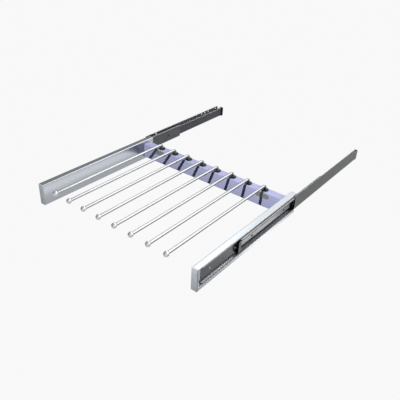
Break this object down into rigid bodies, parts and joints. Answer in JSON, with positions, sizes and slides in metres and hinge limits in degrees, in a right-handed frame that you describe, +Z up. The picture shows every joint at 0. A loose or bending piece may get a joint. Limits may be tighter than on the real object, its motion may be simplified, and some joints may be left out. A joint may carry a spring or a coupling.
{
  "type": "pull out trouser rack",
  "caption": "Pull-out trouser rack: rods on a crossbar between two side profiles, which run on ball-bearing slides fixed to the wardrobe's sides.",
  "frame": {"origin": "the middle of the box round the rack pulled fully out: midway between the wardrobe's sides, midway along, midway up", "axes": "+X to the right across the wardrobe, +Y from the open front into the wardrobe, +Z up"},
  "size_m": [0.614, 0.942, 0.082],
  "materials": {
    "profile_aluminium": "satin anodised extrusion",
    "crossbar_aluminium": "satin anodised extrusion, pale violet grey",
    "rod_chrome": "bright nickel and chrome plate over polished steel",
    "black_plastic": "moulded nylon",
    "cap_plastic": "fine moulded grain",
    "cover_plastic": "smooth moulded",
    "rail_steel": "black zinc plate on rolled steel",
    "cage_steel": "bright zinc plate on stamped sheet",
    "bearing_steel": "polished bearing steel with a film of grease",
    "screw_steel": "black zinc plate"
  },
  "bodies": {
    "cabinet": {"left_cabinet_rail": "rail_steel", "right_cabinet_rail": "rail_steel", "left_rear_bumper": "black_plastic", "right_rear_bumper": "black_plastic"},
    "rack": {"crossbar": "crossbar_aluminium", "rod_balls": "rod_chrome", "rod_collars": "black_plastic", "rod_nuts": "black_plastic", "frame_screws": "screw_steel", "rail_screws": "screw_steel", "rod_1": "rod_chrome", "rod_2": "rod_chrome", "rod_3": "rod_chrome", "rod_4": "rod_chrome", "rod_5": "rod_chrome", "rod_6": "rod_chrome", "rod_7": "rod_chrome", "rod_8": "rod_chrome", "left_profile": "profile_aluminium", "left_front_cap": "cap_plastic", "left_rear_cap": "cap_plastic", "left_fixing_cover": "cover_plastic", "left_rack_rail": "rail_steel", "right_profile": "profile_aluminium", "right_front_cap": "cap_plastic", "right_rear_cap": "cap_plastic", "right_fixing_cover": "cover_plastic", "right_rack_rail": "rail_steel"},
    "left_intermediate": {"left_intermediate_rail": "rail_steel", "left_front_bumper": "black_plastic"},
    "left_outer_cage_set": {"left_outer_cage": "cage_steel", "left_outer_balls": "bearing_steel"},
    "left_inner_cage_set": {"left_inner_cage": "cage_steel", "left_inner_balls": "bearing_steel"},
    "right_intermediate": {"right_intermediate_rail": "rail_steel", "right_front_bumper": "black_plastic"},
    "right_outer_cage_set": {"right_outer_cage": "cage_steel", "right_outer_balls": "bearing_steel"},
    "right_inner_cage_set": {"right_inner_cage": "cage_steel", "right_inner_balls": "bearing_steel"}
  },
  "joints": [
    {"name": "rack_slide", "type": "slide", "parent": "cabinet", "child": "rack", "axis": [0, 1, 0], "range_m": [0, 0.44]},
    {"name": "left_intermediate_slide", "type": "slide", "parent": "cabinet", "child": "left_intermediate", "axis": [0, 1, 0], "range_m": [0, 0.275]},
    {"name": "left_outer_cage_set_slide", "type": "slide", "parent": "cabinet", "child": "left_outer_cage_set", "axis": [0, 1, 0], "range_m": [0, 0.1375]},
    {"name": "left_inner_cage_set_slide", "type": "slide", "parent": "cabinet", "child": "left_inner_cage_set", "axis": [0, 1, 0], "range_m": [0, 0.3575]},
    {"name": "right_intermediate_slide", "type": "slide", "parent": "cabinet", "child": "right_intermediate", "axis": [0, 1, 0], "range_m": [0, 0.275]},
    {"name": "right_outer_cage_set_slide", "type": "slide", "parent": "cabinet", "child": "right_outer_cage_set", "axis": [0, 1, 0], "range_m": [0, 0.1375]},
    {"name": "right_inner_cage_set_slide", "type": "slide", "parent": "cabinet", "child": "right_inner_cage_set", "axis": [0, 1, 0], "range_m": [0, 0.3575]}
  ],
  "couplings": [
    {"joint": "left_intermediate_slide", "follows": "rack_slide", "ratio": 0.625},
    {"joint": "left_outer_cage_set_slide", "follows": "rack_slide", "ratio": 0.3125},
    {"joint": "left_inner_cage_set_slide", "follows": "rack_slide", "ratio": 0.8125},
    {"joint": "right_intermediate_slide", "follows": "rack_slide", "ratio": 0.625},
    {"joint": "right_outer_cage_set_slide", "follows": "rack_slide", "ratio": 0.3125},
    {"joint": "right_inner_cage_set_slide", "follows": "rack_slide", "ratio": 0.8125}
  ]
}
